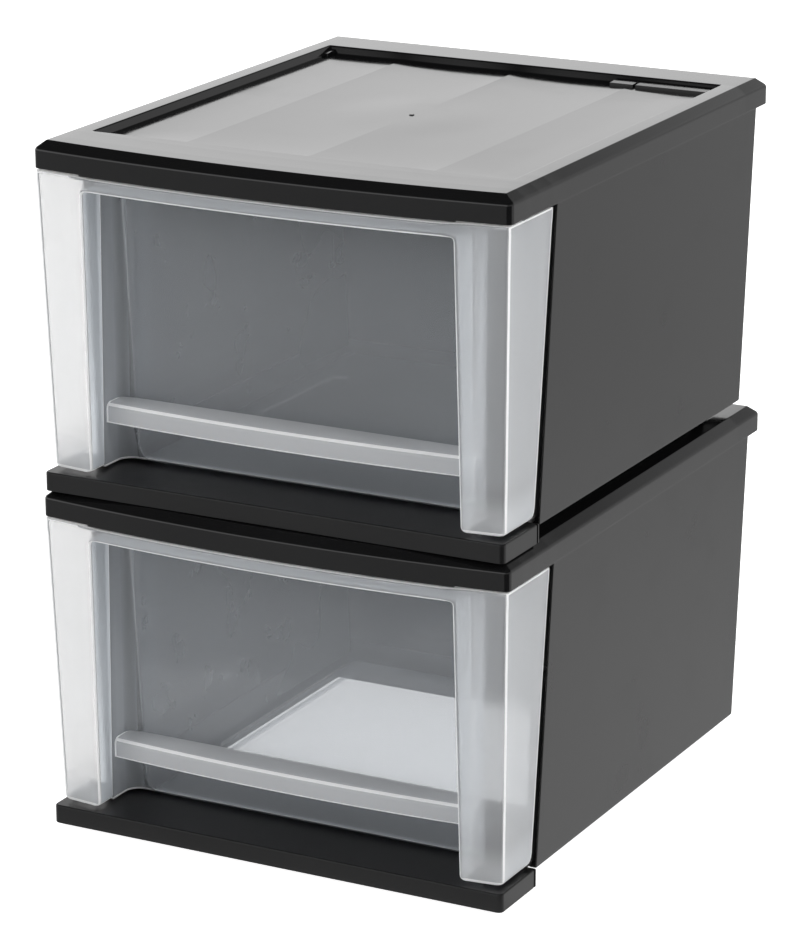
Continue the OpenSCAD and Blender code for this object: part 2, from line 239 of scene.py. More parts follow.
cover = {"width": 303.6, "depth": 356, "frontBow": 9.9, "height": 16.2, "bevelHeight": 4.6,
         "bevelWidth": 6.0, "taper": 1.0, "frontCorner": 3.8, "backCorner": 3.5, "skin": 2.5,
         "browDrop": 0.8, "browHalf": 119.2, "browDepth": 20, "edgeRound": 2.6, "topRound": 1.2,
         "bowSteps": 64}
recess = {"half": 134.5, "front": 37, "back": 321, "depth": 4.6, "slope": 1.8, "topRound": 1.3,
          "footRound": 0.8, "corner": 1.0, "topCorner": 1.4, "shelfDrop": 2.1, "shelfWidth": 11.9,
          "shelfTilt": 0.7, "shelves": [(66, 81.5), (83, 133.4), (-133.4, -129.8)]}
floorShape = {"ribs": (-82, -2, 78), "gate": (-2, 179), "laneSag": 0.42, "dish": 0.3, "edgeRise": 0.3,
              "ridge": {-82: 0.07, -2: 0.17, 78: 0.07}, "ridgeWidth": 12, "rows": 22,
              "laneSteps": (14, 20, 20, 13), "sharpCorner": 0.008, "laneWidth": 80, "gateHold": (12, 60),
              "ridgeFade": (230, 300), "edgeReach": 30, "dishReach": 60, "markHalf": 1.2, "markRise": 0.25}
bowRadius = ((cover["width"] / 2) ** 2 + cover["frontBow"] ** 2) / (2 * cover["frontBow"])
bowCentre = bowRadius - cover["frontBow"]
stackMiddle = 173.05                           # depth of the stack's middle behind the rim's corners


caseLook = {"black": (0.0035, 0.0035, 0.0037, 1), "worn": (0.0065, 0.0065, 0.0068, 1),
            "roughTop": 0.1, "roughSide": 0.24, "roughLedge": 0.3, "blotches": 0.05,
            "fingerMarks": 0.035}
coverRelief = {"stepStart": 0.0175, "stepWidth": 0.017, "stepDrop": 0.00008, "crownStart": 0.1345,
               "crownWidth": 0.0105, "crownDrop": 0.00012, "backStart": 0.148, "backRise": 0.0002}


def caseBlack(name, roughness, waviness, relief=None):
    sheet = Sheet(bpy.data.materials.new(name))
    blotch = sheet.noise(14, 3)
    waves = sheet.noise(5, 1, (1, 0.6, 1))
    fingerMarks = sheet.ramp(sheet.noise(22, 4, (1, 1, 1), 0.6), 0.52, 0.7)
    colour = sheet.mixColour(blotch, caseLook["black"], caseLook["worn"])
    rough = roughness + caseLook["blotches"] * (blotch - 0.5) + caseLook["fingerMarks"] * fingerMarks
    skin = sheet.bump(waves, waviness, 0.004, sheet.bump(sheet.noise(900, 2), 0.04, 0.0002))
    if relief:
        skin = sheet.bump(relief(sheet), 1.0, 1.0, skin)
    shader = sheet.node("ShaderNodeBsdfPrincipled", None, {
        "Base Color": colour, "Roughness": rough, "Normal": skin, "IOR": 1.5})
    return sheet.output(shader.outputs[0])


def sinkMarks(sheet):
    # the border round the recess steps down behind its front edge, and rounds off at its sides
    look, x, y = coverRelief, sheet.place("X"), sheet.place("Y")
    reachY = y - bowCentre * mm + stackMiddle * mm
    fromBow = bowRadius * mm - (x * x + reachY * reachY).root()
    start = look["stepStart"]
    steps = sheet.ramp(fromBow, start, start + 3 * look["stepWidth"], 0.0, 2.999, "LINEAR")
    along = steps - steps.whole()
    fall = (steps.whole() + along * (2 - along)) * look["stepDrop"]
    start = look["crownStart"]
    side = sheet.ramp(x.size(), start, start + look["crownWidth"], 0.0, 1.0, "LINEAR")
    rise = sheet.ramp(y, look["backStart"], look["backStart"] + 0.03, 0.0, look["backRise"], "LINEAR")
    right = sheet.ramp(x, -0.05, 0.14)
    return rise * (0.6 + right) - fall - side * side * look["crownDrop"]


frostLook = {"clear": (0.95, 0.945, 0.94, 1), "nearSide": (0.88, 0.92, 0.965, 1),
             "farSide": (0.96, 0.94, 0.925, 1), "roughness": 0.14, "haze": 0.27, "slantHaze": 0.56,
             "footHaze": 0.25, "fromBehind": 0.55, "gloss": 0.5}
# the returns get a darker, nearly opaque copy of the frosted plastic: painted shade on the sheet's
# turn-back round the opening
returnShadeLook = {"clear": (0.90, 0.93, 0.96, 1), "nearSide": (0.66, 0.70, 0.74, 1),
              "farSide": (0.66, 0.70, 0.75, 1), "roughness": 0.14, "haze": 0.68, "slantHaze": 0.14,
              "footHaze": 0.1, "fromBehind": 0.3, "gloss": 0.3}
# a whiter, fully milky copy of the frosted plastic: painted highlight lines on bends, rims, feet and heads
highlightLook = {"clear": (0.98, 0.98, 0.98, 1), "nearSide": (0.92, 0.925, 0.93, 1),
            "farSide": (0.98, 0.98, 0.98, 1), "roughness": 0.3, "haze": 1.0, "slantHaze": 0.0,
            "footHaze": 0.0, "fromBehind": 0.3, "gloss": 0.5}
# the pillars get milkier towards their feet: heights in metres, repeating from box to box
pillarFoot = {"pitch": 0.208, "level": 0.0164, "start": 0.004, "end": 0.026}


def frostedPlastic(name, look):
    # haze is the share that the plastic's body scatters, more at a slant: bluish back, warm onward
    sheet = Sheet(bpy.data.materials.new(name))
    cloud = sheet.noise(26, 3, (1, 1, 0.35))
    rough = look["roughness"] + 0.08 * (cloud - 0.5)
    face = sheet.bump(sheet.noise(1400, 2), 0.12, 0.00015)
    glass = sheet.node("ShaderNodeBsdfPrincipled", None, {
        "Base Color": look["clear"], "Roughness": rough, "Normal": face, "IOR": 1.25,
        "Transmission Weight": 1.0})
    body = sheet.node("ShaderNodeBsdfPrincipled", None, {
        "Base Color": look["nearSide"], "Roughness": rough, "Normal": face, "IOR": 1.45,
        "Specular IOR Level": look["gloss"]})
    through = sheet.node("ShaderNodeBsdfTranslucent", None, {"Color": look["farSide"], "Normal": face})
    milk = sheet.blend(look["fromBehind"], body.outputs[0], through.outputs[0])
    outside = 1 - sheet.fact("ShaderNodeNewGeometry", "Backfacing")
    slant = sheet.fact("ShaderNodeLayerWeight", "Facing", None, {"Blend": 0.5})
    z = sheet.place("Z")
    above = z - (z / pillarFoot["pitch"]).whole() * pillarFoot["pitch"] - pillarFoot["level"]
    atFoot = sheet.ramp(above, pillarFoot["start"], pillarFoot["end"], look["footHaze"], 0.0)
    share = outside * (look["haze"] + look["slantHaze"] * slant + atFoot + 0.05 * (cloud - 0.5))
    return sheet.output(sheet.blend(share, glass.outputs[0], milk))


# besides the tub's own tint and haze, these make copies of the clear plastic that paint light: a paler,
# hazier one for the pull lip, a hazier one for the window's sides, and a near-white one for highlight lines
tubLook = {"tint": (0.79, 0.83, 0.88, 1), "highlightTint": (0.97, 0.975, 0.98, 1),
           "lipLitTint": (0.83, 0.84, 0.86, 1), "haze": 0.2, "slantHaze": 0.16, "revealLitHaze": 0.28,
           "lipLitHaze": 0.5, "lipLitSlant": 0.05, "highlightHaze": 0.96, "scuffs": 0.012, "fromBehind": 0.3,
           "shine": 1.3, "roughness": 0.07}


def clearPlastic(name, haze, slantHaze, tint):
    # thin clear wall: sight goes straight on, a little is scattered, the outer surface shines
    sheet = Sheet(bpy.data.materials.new(name))
    cloud = sheet.noise(9, 2)
    rubbed = sheet.ramp(sheet.noise(38, 4, (1, 1, 1), 0.6), 0.56, 0.78)
    outside = 1 - sheet.fact("ShaderNodeNewGeometry", "Backfacing")
    slant = sheet.fact("ShaderNodeLayerWeight", "Facing", None, {"Blend": 0.5})
    share = outside * (haze + slantHaze * slant + 0.02 * (cloud - 0.5) + tubLook["scuffs"] * rubbed)
    waves = sheet.bump(sheet.noise(8, 1), 0.1, 0.002)
    shine = sheet.node("ShaderNodeBsdfAnisotropic", None, {
        "Color": (1, 1, 1, 1), "Roughness": tubLook["roughness"], "Normal": waves})
    clearWay = sheet.node("ShaderNodeBsdfTransparent", None, {"Color": (0.975, 0.98, 0.985, 1)})
    fresnel = sheet.fact("ShaderNodeFresnel", 0, None, {"IOR": 1.45, "Normal": waves})
    mirror = outside * tubLook["shine"] * fresnel
    glass = sheet.blend(mirror, clearWay.outputs[0], shine.outputs[0])
    near = sheet.node("ShaderNodeBsdfDiffuse", None, {"Color": tint})
    far = sheet.node("ShaderNodeBsdfTranslucent", None, {"Color": tint})
    milk = sheet.blend(tubLook["fromBehind"], near.outputs[0], far.outputs[0])
    return sheet.output(sheet.blend(share, glass, milk))


coverBlack = caseBlack("cover black", caseLook["roughTop"], 0.05, sinkMarks)
satinBlack = caseBlack("satin black", caseLook["roughSide"], 0.06)
ledgeBlack = caseBlack("ledge black", caseLook["roughLedge"], 0.05)
frosted = frostedPlastic("frosted", frostLook)
# darker copy of the frosted plastic: painted shade on the returns
frostedReturnShade = frostedPlastic("frosted return painted shade", returnShadeLook)
# whiter copy of the frosted plastic: painted highlight lines
frostedHighlight = frostedPlastic("frosted painted highlight", highlightLook)
clear = clearPlastic("clear", tubLook["haze"], tubLook["slantHaze"], tubLook["tint"])
# a hazier copy for the window's sides: painted light that lightens them
clearRevealLit = clearPlastic("clear reveal lit copy", tubLook["revealLitHaze"], tubLook["slantHaze"], tubLook["tint"])
# a paler, hazier copy for the pull lip: painted light that lightens it
clearLipLit = clearPlastic("clear lip lit copy", tubLook["lipLitHaze"], tubLook["lipLitSlant"], tubLook["lipLitTint"])
# a near-white, almost opaque copy: painted highlight lines
clearHighlight = clearPlastic("clear painted highlight", tubLook["highlightHaze"], 0.0, tubLook["highlightTint"])
print("plastics ready")


cornerSteps = 7


def laneStations(half):
    # x stations from side to side, with one on each rib under the floor
    cuts = [-half] + list(floorShape["ribs"]) + [half]
    out = [-half]
    for left, right, steps in zip(cuts, cuts[1:], floorShape["laneSteps"]):
        out += spread(left, right, steps + 1)[1:]
    return out


def coverPlan(inset, z):
    half = cover["width"] / 2 - inset
    radius = bowRadius - inset
    front = max(cover["frontCorner"] - inset, 0.5)
    back = max(cover["backCorner"] - inset, 0.5)
    sweep = math.asin((half - front) / (radius - front))
    browEdges = [s * (cover["browHalf"] + d) / radius for s in (-1, 1) for d in (-0.1, 0.1)]
    turns = sorted(spread(-sweep, sweep, cover["bowSteps"]) + [math.asin(edge) for edge in browEdges])
    ring = [(radius * math.sin(t), bowCentre - radius * math.cos(t)) for t in turns]
    cornerY = bowCentre - math.sqrt((radius - front) ** 2 - (half - front) ** 2)
    ring += arcPoints(half - front, cornerY, front, sweep - math.pi / 2, 0, cornerSteps)[1:]
    backHalf, backY = half - cover["taper"] - back, cover["depth"] - inset - back
    ys = spread(cornerY, backY, floorShape["rows"] + 2)[1:-1]
    sides = [(half - cover["taper"] * y / cover["depth"], y) for y in ys]
    ring += sides
    ring += arcPoints(backHalf, backY, back, 0, math.pi / 2, cornerSteps)
    ring += [(x, backY + back) for x in laneStations(backHalf)[-2:0:-1]]
    ring += arcPoints(-backHalf, backY, back, math.pi / 2, math.pi, cornerSteps)
    ring += [(-x, y) for x, y in sides[::-1]]
    ring += arcPoints(front - half, cornerY, front, math.pi, 1.5 * math.pi - sweep, cornerSteps)[:-1]
    return [(x, y, z) for x, y in ring]


def withBrow(ring):
    # the skirt hangs a little lower between the drawer's pillars
    half, drop, depth = cover["browHalf"], cover["browDrop"], cover["browDepth"]
    return [(x, y, z - (drop if abs(x) < half and y < depth else 0)) for x, y, z in ring]


def easeIn(value, low, high):
    t = min(max((value - low) / (high - low), 0), 1)
    return t * t * (3 - 2 * t)


def floorSag(x, y):
    # the floor hangs between the ribs under it, is held up round its gate, and creases over the ribs
    shape, lane = floorShape, floorShape["laneWidth"]
    cuts = [shape["ribs"][0] - lane] + list(shape["ribs"]) + [shape["ribs"][-1] + lane]
    left = max(cut for cut in cuts if cut <= x + 0.001)
    across = (x - left) / lane
    free = easeIn(math.dist((x, y), shape["gate"]), *shape["gateHold"])
    sag = 4 * across * (1 - across) * shape["laneSag"] * free
    near = min(shape["ribs"], key=lambda rib: abs(rib - x))
    close = max(0, 1 - abs(near - x) / shape["ridgeWidth"])
    ridge = shape["ridge"][near] * close ** 2 * easeIn(y, *shape["ridgeFade"])
    fromEdge = min(recess["half"] - abs(x), y - recess["front"], recess["back"] - y)
    rise = shape["edgeRise"] * (1 - easeIn(fromEdge, 0, shape["edgeReach"]))
    return sag + shape["dish"] * easeIn(fromEdge, 0, shape["dishReach"]) - rise - ridge


def recessRing(inward, drop, corner=recess["corner"], sagging=False):
    # inward is the distance from the edge at the top face, drop the depth below it
    half, front, back = recess["half"] - inward, recess["front"] + inward, recess["back"] - inward
    sides = [(half, y) for y in spread(front + corner, back - corner, floorShape["rows"] + 2)[1:-1]]
    ring = [(x, front) for x in laneStations(half - corner)]
    ring += arcPoints(half - corner, front + corner, corner, -math.pi / 2, 0, cornerSteps)[1:]
    ring += sides
    ring += arcPoints(half - corner, back - corner, corner, 0, math.pi / 2, cornerSteps)
    ring += [(x, back) for x in laneStations(half - corner)[-2:0:-1]]
    ring += arcPoints(corner - half, back - corner, corner, math.pi / 2, math.pi, cornerSteps)
    ring += [(-x, y) for x, y in sides[::-1]]
    ring += arcPoints(corner - half, front + corner, corner, math.pi, 1.5 * math.pi, cornerSteps)[:-1]
    return [(x, y, -drop - (floorSag(x, y) if sagging else 0)) for x, y in ring]


def recessFloor(shell, inward, corner):
    half, front, back = recess["half"] - inward, recess["front"] + inward, recess["back"] - inward
    xs = laneStations(half - corner)
    ys = [front] + spread(front + corner, back - corner, floorShape["rows"] + 2)[1:-1] + [back]
    shell.loft([[(x, y, -recess["depth"] - floorSag(x, y)) for x in xs] for y in ys], False)
    for edge in shell.bm.edges:
        middle = (edge.verts[0].co + edge.verts[1].co) / 2 - shell.origin
        along = abs(edge.verts[0].co.x - edge.verts[1].co.x) < 0.001 * mm
        deep = -1.5 * recess["depth"] < middle.z / mm < -recess["depth"] + 0.5
        edge.seam = along and deep and any(abs(middle.x / mm - rib) < 0.01 for rib in floorShape["ribs"])


def roundedBlock(shell, low, high, radius, tilt=0.0, steps=2):
    # a small block with rounded upright corners and top edges; its top falls by tilt to the front
    half = [(high[i] - low[i]) / 2 for i in range(3)]
    mid = [(high[i] + low[i]) / 2 for i in range(3)]
    rings = []
    profile = [(radius, low[2]), (0, low[2] + radius), (0, high[2] - radius)]
    profile += [(radius * (1 - math.cos(a)), high[2] - radius * (1 - math.sin(a)))
                for a in spread(0, math.pi / 2, steps + 1)[1:]]
    for inset, z in profile:
        r = max(radius - inset, 0.05)
        w, d = half[0] - inset - r, half[1] - inset - r
        ring = []
        for k, (sx, sy) in enumerate(((1, -1), (1, 1), (-1, 1), (-1, -1))):
            start = (k - 1) * math.pi / 2
            ring += arcPoints(mid[0] + sx * w, mid[1] + sy * d, r, start, start + math.pi / 2, steps)
        fall = tilt / (high[1] - low[1]) if z > mid[2] else 0
        rings.append([(x, y, z - fall * (mid[1] + half[1] - y)) for x, y in ring])
    shell.loft(rings, True, True, True)


def makeCover(tier):
    shell = Shell(tier + "_cover_moulding", originOf(tier))
    skin, ceiling = cover["skin"], cover["bevelHeight"] + cover["skin"]
    outside = roundPath([
        (skin, -ceiling), (skin, -cover["height"], 0.3), (0, -cover["height"], 0.6),
        (0, -cover["bevelHeight"], cover["edgeRound"]), (cover["bevelWidth"], 0, cover["topRound"]),
        (cover["bevelWidth"] + 3, 0)])
    depth, lean, top, foot = recess["depth"], recess["slope"], recess["topRound"], recess["footRound"]
    rings = [recessRing(lean - skin, depth + skin), recessRing(lean - skin, ceiling)]
    rings.append(coverPlan(skin + 0.4, -ceiling))
    for inset, z in outside:
        ring = coverPlan(inset, z)
        rings.append(withBrow(ring) if z < -cover["height"] / 2 else ring)
    wall = roundPath([(-2 * top, 0), (0, 0, top), (lean, depth, foot), (lean + 2 * foot, depth)])
    for k, (inward, drop) in enumerate(wall[1:-1]):
        corner = recess["topCorner"] if k < 4 else recess["corner"]
        rings.append(recessRing(inward, drop, corner, k > 5))
    floorIn, sharp = wall[-2][0] + 0.01, floorShape["sharpCorner"]
    rings.append(recessRing(floorIn, depth, sharp, True))
    shell.loft(rings, True, True)
    recessFloor(shell, floorIn, sharp)
    shelfFront, root = recess["back"] - recess["shelfWidth"], -depth - 1
    for left, right in recess["shelves"]:
        low, high = (left, shelfFront, root), (right, recess["back"] - 0.4, -recess["shelfDrop"])
        roundedBlock(shell, low, high, 0.3, recess["shelfTilt"])
    (x, y), half, markTop = floorShape["gate"], floorShape["markHalf"], floorShape["markRise"] - depth
    roundedBlock(shell, (x - half, y - half, root), (x + half, y + half, markTop), 0.3)
    piece = shell.finish([coverBlack])
    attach(piece, tier + "_case")
    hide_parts(tier + "_top_cover")


walls = {"topHalf": 149.7, "lowHalf": 144.5, "topZ": -16.2, "lowZ": -201.3, "topFront": 61.2,
         "lowFront": 52.8, "topBack": 343.5, "lowBack": 340, "edgeWidth": 5, "edgeDepth": 3, "skin": 2.5,
         "lipZ": -198.8, "stripFront": 45, "stripIn": 2, "stripLap": 0.8, "stripLow": -196,
         "frontCorner": 0.8, "backCorner": 3.5, "edgeCorner": 0.6, "innerCorner": 2, "footRound": 0.7,
         "footBend": 0.25, "rows": 6}


def wallAt(z, name):
    # a size of the tapered wall at a height, between its values at the foot and under the rim
    t = (z - walls["lowZ"]) / (walls["topZ"] - walls["lowZ"])
    return walls["low" + name] + (walls["top" + name] - walls["low" + name]) * t


def wallRing(z, thick, shrink=0.0):
    half, front, back = wallAt(z, "Half") - shrink, wallAt(z, "Front") + shrink, wallAt(z, "Back") - shrink
    inner, edge = half - thick + 2 * shrink, half - walls["edgeWidth"] + 2 * shrink
    deep = front + walls["edgeDepth"] - shrink
    innerBack = back - thick + 2 * shrink
    fore, aft, tip, inside = [walls[name + "Corner"] for name in ("front", "back", "edge", "inner")]
    path = roundPath([
        (half, front, fore), (half, back, aft), (-half, back, aft), (-half, front, fore),
        (-edge, front, tip), (-edge, deep), (-inner, deep), (-inner, innerBack, inside),
        (inner, innerBack, inside), (inner, deep), (edge, deep), (edge, front, tip)], True)
    return [(x, y, z) for x, y in path]


def stripRing(side, z):
    # a strip that reaches forward from the wall, inside the drawer's flange
    outer, face = wallAt(z, "Half") - walls["stripIn"], walls["stripFront"]
    inner, back = outer - walls["skin"], wallAt(z, "Front") + walls["stripLap"]
    path = roundPath([(inner, face, 0.5), (outer, face, 0.5), (outer, back), (inner, back)], True)
    return [(side * x, y, z) for x, y in path[::side]]


def makeWalls(tier):
    shell = Shell(tier + "_wall_moulding", originOf(tier))
    low, top, skin, lip = walls["lowZ"], walls["topZ"], walls["skin"], walls["edgeWidth"] - 0.02
    r, bend, rows = walls["footRound"], walls["footBend"], walls["rows"]
    rings = [wallRing(low, lip, r), wallRing(low + bend, lip, bend), wallRing(low + r, lip),
             wallRing(walls["lipZ"], lip), wallRing(walls["lipZ"], skin)]
    rings += [wallRing(z, skin) for z in spread(walls["lipZ"] + 1, top, rows)]
    shell.loft(rings, True, True, True)
    for side in (-1, 1):
        shell.loft([stripRing(side, z) for z in spread(walls["stripLow"], top, rows)], True, True, True)
    piece = shell.finish([satinBlack])
    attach(piece, tier + "_case")
    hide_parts(tier + "_side_walls")


base = {"half": 149.3, "corner": 3.4, "front": -2, "back": 42.6, "lowZ": -207.7, "topZ": -196.3,
        "skin": 2.5, "slotFront": 39.7, "slotWidth": 1.7, "slotDepth": 1.25, "plateHalf": 141.7,
        "plateBack": 337.2, "footHalf": 125.5, "footFront": 46, "footBack": 308, "footLow": -210.7,
        "barBack": 326, "rib": 2.5, "edgeRound": 0.9, "footRound": 0.3, "plateLap": 1.2}
opening = {"half": 112, "front": 125, "back": 303, "tongueDepth": 11, "tongueLeft": -73, "corner": 10,
           "stepCorner": 3, "tongueCorner": 2}


def ledgeRing(inset, z, slots=True):
    half, corner = base["half"] - inset, max(base["corner"] - inset, 0.4)
    front, back = base["front"] + inset, base["back"] - inset
    cut = base["slotDepth"] if slots else 0
    slotA, slotB = base["slotFront"], base["slotFront"] + base["slotWidth"]
    right = [(half, slotA), (half - cut, slotA), (half - cut, slotB), (half, slotB)]
    left = [(-x, y) for x, y in right[::-1]]
    small = min(base["footRound"], inset + 0.1)
    path = roundPath([(-half, front, corner), (half, front, corner)] + right +
                     [(half, back, small), (-half, back, small)] + left, True)
    return [(x, y, z) for x, y in path]


def flatPlate(shell, outlines, lowZ, highZ):
    # fills the room between the outer outline and the holes, and gives it a thickness
    curve = bpy.data.curves.new("outline", "CURVE")
    curve.dimensions = "2D"
    curve.fill_mode = "BOTH"
    curve.extrude = (highZ - lowZ) / 2 * mm
    for outline in outlines:
        spline = curve.splines.new("POLY")
        spline.points.add(len(outline) - 1)
        for point, (x, y) in zip(spline.points, outline):
            point.co = (x * mm, y * mm, 0, 1)
        spline.use_cyclic_u = True
    holder = bpy.data.objects.new("outline", curve)
    mesh = bpy.data.meshes.new_from_object(holder)
    mesh.transform(Matrix.Translation(shell.origin + Vector((0, 0, (lowZ + highZ) / 2)) * mm))
    shell.bm.from_mesh(mesh)
    bpy.data.objects.remove(holder)
    bpy.data.curves.remove(curve)
    bpy.data.meshes.remove(mesh)


def rectangle(left, right, front, back, corner=0.5):
    corners = [(left, front), (right, front), (right, back), (left, back)]
    return roundPath([(x, y, corner) for x, y in corners], True)


def makeBase(tier):
    shell = Shell(tier + "_base_moulding", originOf(tier))
    low, top, skin, edge = base["lowZ"], base["topZ"], base["skin"], base["edgeRound"]
    r = base["footRound"]
    rings = [ledgeRing(skin, top - skin, False), ledgeRing(skin, low + r, False), ledgeRing(r, low)]
    rings += [ledgeRing(0, low + r), ledgeRing(0, top - edge)]
    for a in spread(0, math.pi / 2, 5)[1:]:
        rings.append(ledgeRing(edge * (1 - math.cos(a)), top - edge * (1 - math.sin(a))))
    shell.loft(rings, True, True, True)
    half, near, far, corner = opening["half"], opening["front"], opening["back"], opening["corner"]
    step, left = far - opening["tongueDepth"], opening["tongueLeft"]
    wide, tight = opening["stepCorner"], opening["tongueCorner"]
    hole = roundPath([(-half, near, corner), (half, near, corner), (half, step, wide),
                      (left, step, tight), (left, far, tight), (-half, far, corner)], True)
    plateFront = base["back"] - base["plateLap"]
    plate = rectangle(-base["plateHalf"], base["plateHalf"], plateFront, base["plateBack"])
    flatPlate(shell, [plate, hole], top - skin, top)
    ribTop = top - skin + overlap
    foot = rectangle(-base["footHalf"], base["footHalf"], base["footFront"], base["footBack"], 2)
    inside = rectangle(base["rib"] - base["footHalf"], base["footHalf"] - base["rib"],
                       base["footFront"] + base["rib"], base["footBack"] - base["rib"], 1)
    flatPlate(shell, [foot, inside], base["footLow"], ribTop)
    bar = rectangle(-base["footHalf"], base["footHalf"], base["barBack"], base["barBack"] + base["rib"])
    flatPlate(shell, [bar], low, ribTop)
    piece = shell.finish([ledgeBlack])
    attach(piece, tier + "_case")
    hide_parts(tier + "_base_frame")


front = {"topZ": -17.2, "lowZ": -194.3, "topHalf": 150.6, "lowHalf": 146.3, "lean": 6, "barZ": -26,
         "openTop": 118, "openLow": 119.6, "openCorner": 2.2, "footCorner": 2.6, "thick": 1.8,
         "flangeTop": 53.8, "flangeLow": 42, "flangeCorner": 7, "joinY": 17, "outerRound": 2.0,
         "innerRound": 1.9, "browRound": 1.6, "rimLine": 1.1, "seamLine": 0.3, "browDrop": 0.8,
         "browHalf": 120.2, "footRows": (4.5, 7, 12), "evenStart": 20, "evenRows": 14, "barColumns": 26}


def between(z, top, low):
    t = (z - front["lowZ"]) / (front["topZ"] - front["lowZ"])
    return low + (top - low) * t


def faceY(x, z):
    lowRadius = math.hypot(front["lowHalf"], bowCentre - front["lean"])
    radius = between(z, bowRadius, lowRadius)
    return bowCentre - math.sqrt(radius * radius - x * x)


def shrinkAt(height, radius):
    # how far a corner of this radius is cut back at a height above its foot
    return radius - math.sqrt(max(radius ** 2 - (radius - height) ** 2, 0)) if height < radius else 0


def frontStations():
    # a point on the opening's edge, its partner on the outline and the flange's depth between them,
    # from the right foot up, over the bar and down to the left foot
    side = []
    rise, low, bar, r = front["footCorner"], front["lowZ"], front["barZ"], front["openCorner"]
    zs = [low + rise * (1 - math.cos(a)) for a in spread(0, math.pi / 2, 5)]
    zs += [low + h for h in front["footRows"]]
    zs += spread(low + front["evenStart"], bar - r, front["evenRows"])
    for z in zs:
        cut = shrinkAt(z - low, rise)
        flange = between(z, front["flangeTop"], front["flangeLow"])
        flange -= shrinkAt(z - low, front["flangeCorner"])
        inner = front["openLow"] + (front["openTop"] - front["openLow"]) * (z - low) / (bar - low)
        side.append(((inner + cut, z), (between(z, front["topHalf"], front["lowHalf"]) - cut, z), flange))
    arc = arcPoints(front["openTop"] - r, bar - r, r, 0, math.pi / 2, 6)
    half, top = front["topHalf"], front["topZ"]
    outer = [(half, (bar - r + top) / 2), (half, top - front["rimLine"]), (half, top - crease)]
    outer += [(half - 2 * crease, top)]
    outer += [(half - (half - front["openTop"] + r) * k / 3, top) for k in (1, 2)]
    for k, (point, edge) in enumerate(zip(arc[1:], outer)):
        back = between(edge[1], front["flangeTop"], front["flangeLow"]) if k < 3 else front["joinY"]
        side.append((point, edge, back))
    across = []
    for x in spread(front["openTop"] - r, 0, front["barColumns"])[1:]:
        across.append(((x, bar), (x, top), front["joinY"]))
    right = side + across
    left = [((-inner[0], inner[1]), (-outer[0], outer[1]), back) for inner, outer, back in right[-2::-1]]
    return right + left


def frontSection(point, outline, backY):
    # from the back of the return round the opening, over the face, to the back of the flange
    inner, outer = Vector(point), Vector(outline)
    way = (outer - inner).normalized()
    small, big = front["innerRound"], front["outerRound"]
    if abs(outer.x) < front["browHalf"] and outer.y > front["topZ"] - 0.5:
        outer = outer - way * front["browDrop"]
        big = front["browRound"]
    section = []

    def add(spot, y):
        section.append((spot.x, y, spot.y))

    innerY, outerY = faceY(inner.x, inner.y), faceY(outer.x, outer.y)
    add(inner, front["joinY"])
    add(inner, front["joinY"] - front["seamLine"])
    add(inner, (front["joinY"] + innerY + small) / 2)
    for a in spread(0, math.pi / 2, 5):
        add(inner + way * small * (1 - math.cos(a)), innerY + small * (1 - math.sin(a)))
    first, last = inner + way * small, outer - way * big
    for t in spread(0, 1, 9)[1:-1]:
        spot = first.lerp(last, t)
        add(spot, faceY(spot.x, spot.y))
    rise = faceY(last.x, last.y) - outerY
    for a in spread(0, math.pi / 2, 7):
        add(outer - way * big * (1 - math.sin(a)), outerY + big * (1 - math.cos(a)) + rise * math.cos(a))
    add(outer, (backY + outerY + big) / 2)
    add(outer, backY - front["rimLine"])
    add(outer, backY)
    return section


# columns of the front's sections, counted from the back of the return: painted highlight lines, a whiter
# and milkier copy of the plastic standing in for light that leaves the sheet, lie on its bends and rims, on
# the left pillar also beside the outer bend, and at the pillars' feet and heads; the return's columns get a
# darker copy as painted shade
returnShadeColumns = (0, 1, 2)
highlightColumns = (0, 4, 5, 18, 19, 20, 23)
leftHighlightColumns = (15, 16, 17)
headHighlightColumns = (19, 20, 21, 22, 23)
footHighlightRows = 3


def makeFront(tier):
    shell = Shell(tier + "_frosted_front", originOf(tier))
    sections = [frontSection(*station) for station in frontStations()]
    last = len(sections) - 2
    below = [front["topZ"] - section[-1][2] for section in sections]
    heads = [r for r in range(last) if crease / 2 < below[r + 1] < 2 * crease]
    heads += [last - r for r in heads]

    # index 2 is the whiter copy that paints highlights, index 1 the return's darker copy that paints shade
    def edge(r, i):
        leftPillar = sections[r][-1][0] < -front["browHalf"]
        bright = min(r, last - r) < footHighlightRows or i in highlightColumns or (r in heads and i in headHighlightColumns)
        return 2 if bright or (leftPillar and i in leftHighlightColumns) else i in returnShadeColumns

    shell.loft(sections, False, edge=edge)
    piece = shell.finish([frosted, frostedReturnShade, frostedHighlight], front["thick"])
    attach(piece, tier + "_drawer")
    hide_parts(tier + "_drawer_front")


tub = {"windowY": 36.5, "windowHalf": 119.2, "corner": 6, "lowCorner": 9, "lean": 3.5, "topZ": -26,
       "lowZ": -194.3, "wallTopZ": -21, "topHalf": 118.5, "lowHalf": 109, "topBack": 304, "lowBack": 300,
       "floorZ": -194.2, "floorRound": 8, "backCorner": 7, "thick": 2.2, "rimLine": 1.2, "runnerX": 98,
       "runnerHalf": 1.5, "runnerLow": -196.0, "runnerEnd": 10, "wallStart": 20, "revealColumns": 9}
pull = {"topZ": -156, "height": 12, "out": 16.5, "bow": 5, "round": 4, "thick": 2.2, "lowLine": 0.8,
        "highlightColumns": (3, 4, 8)}


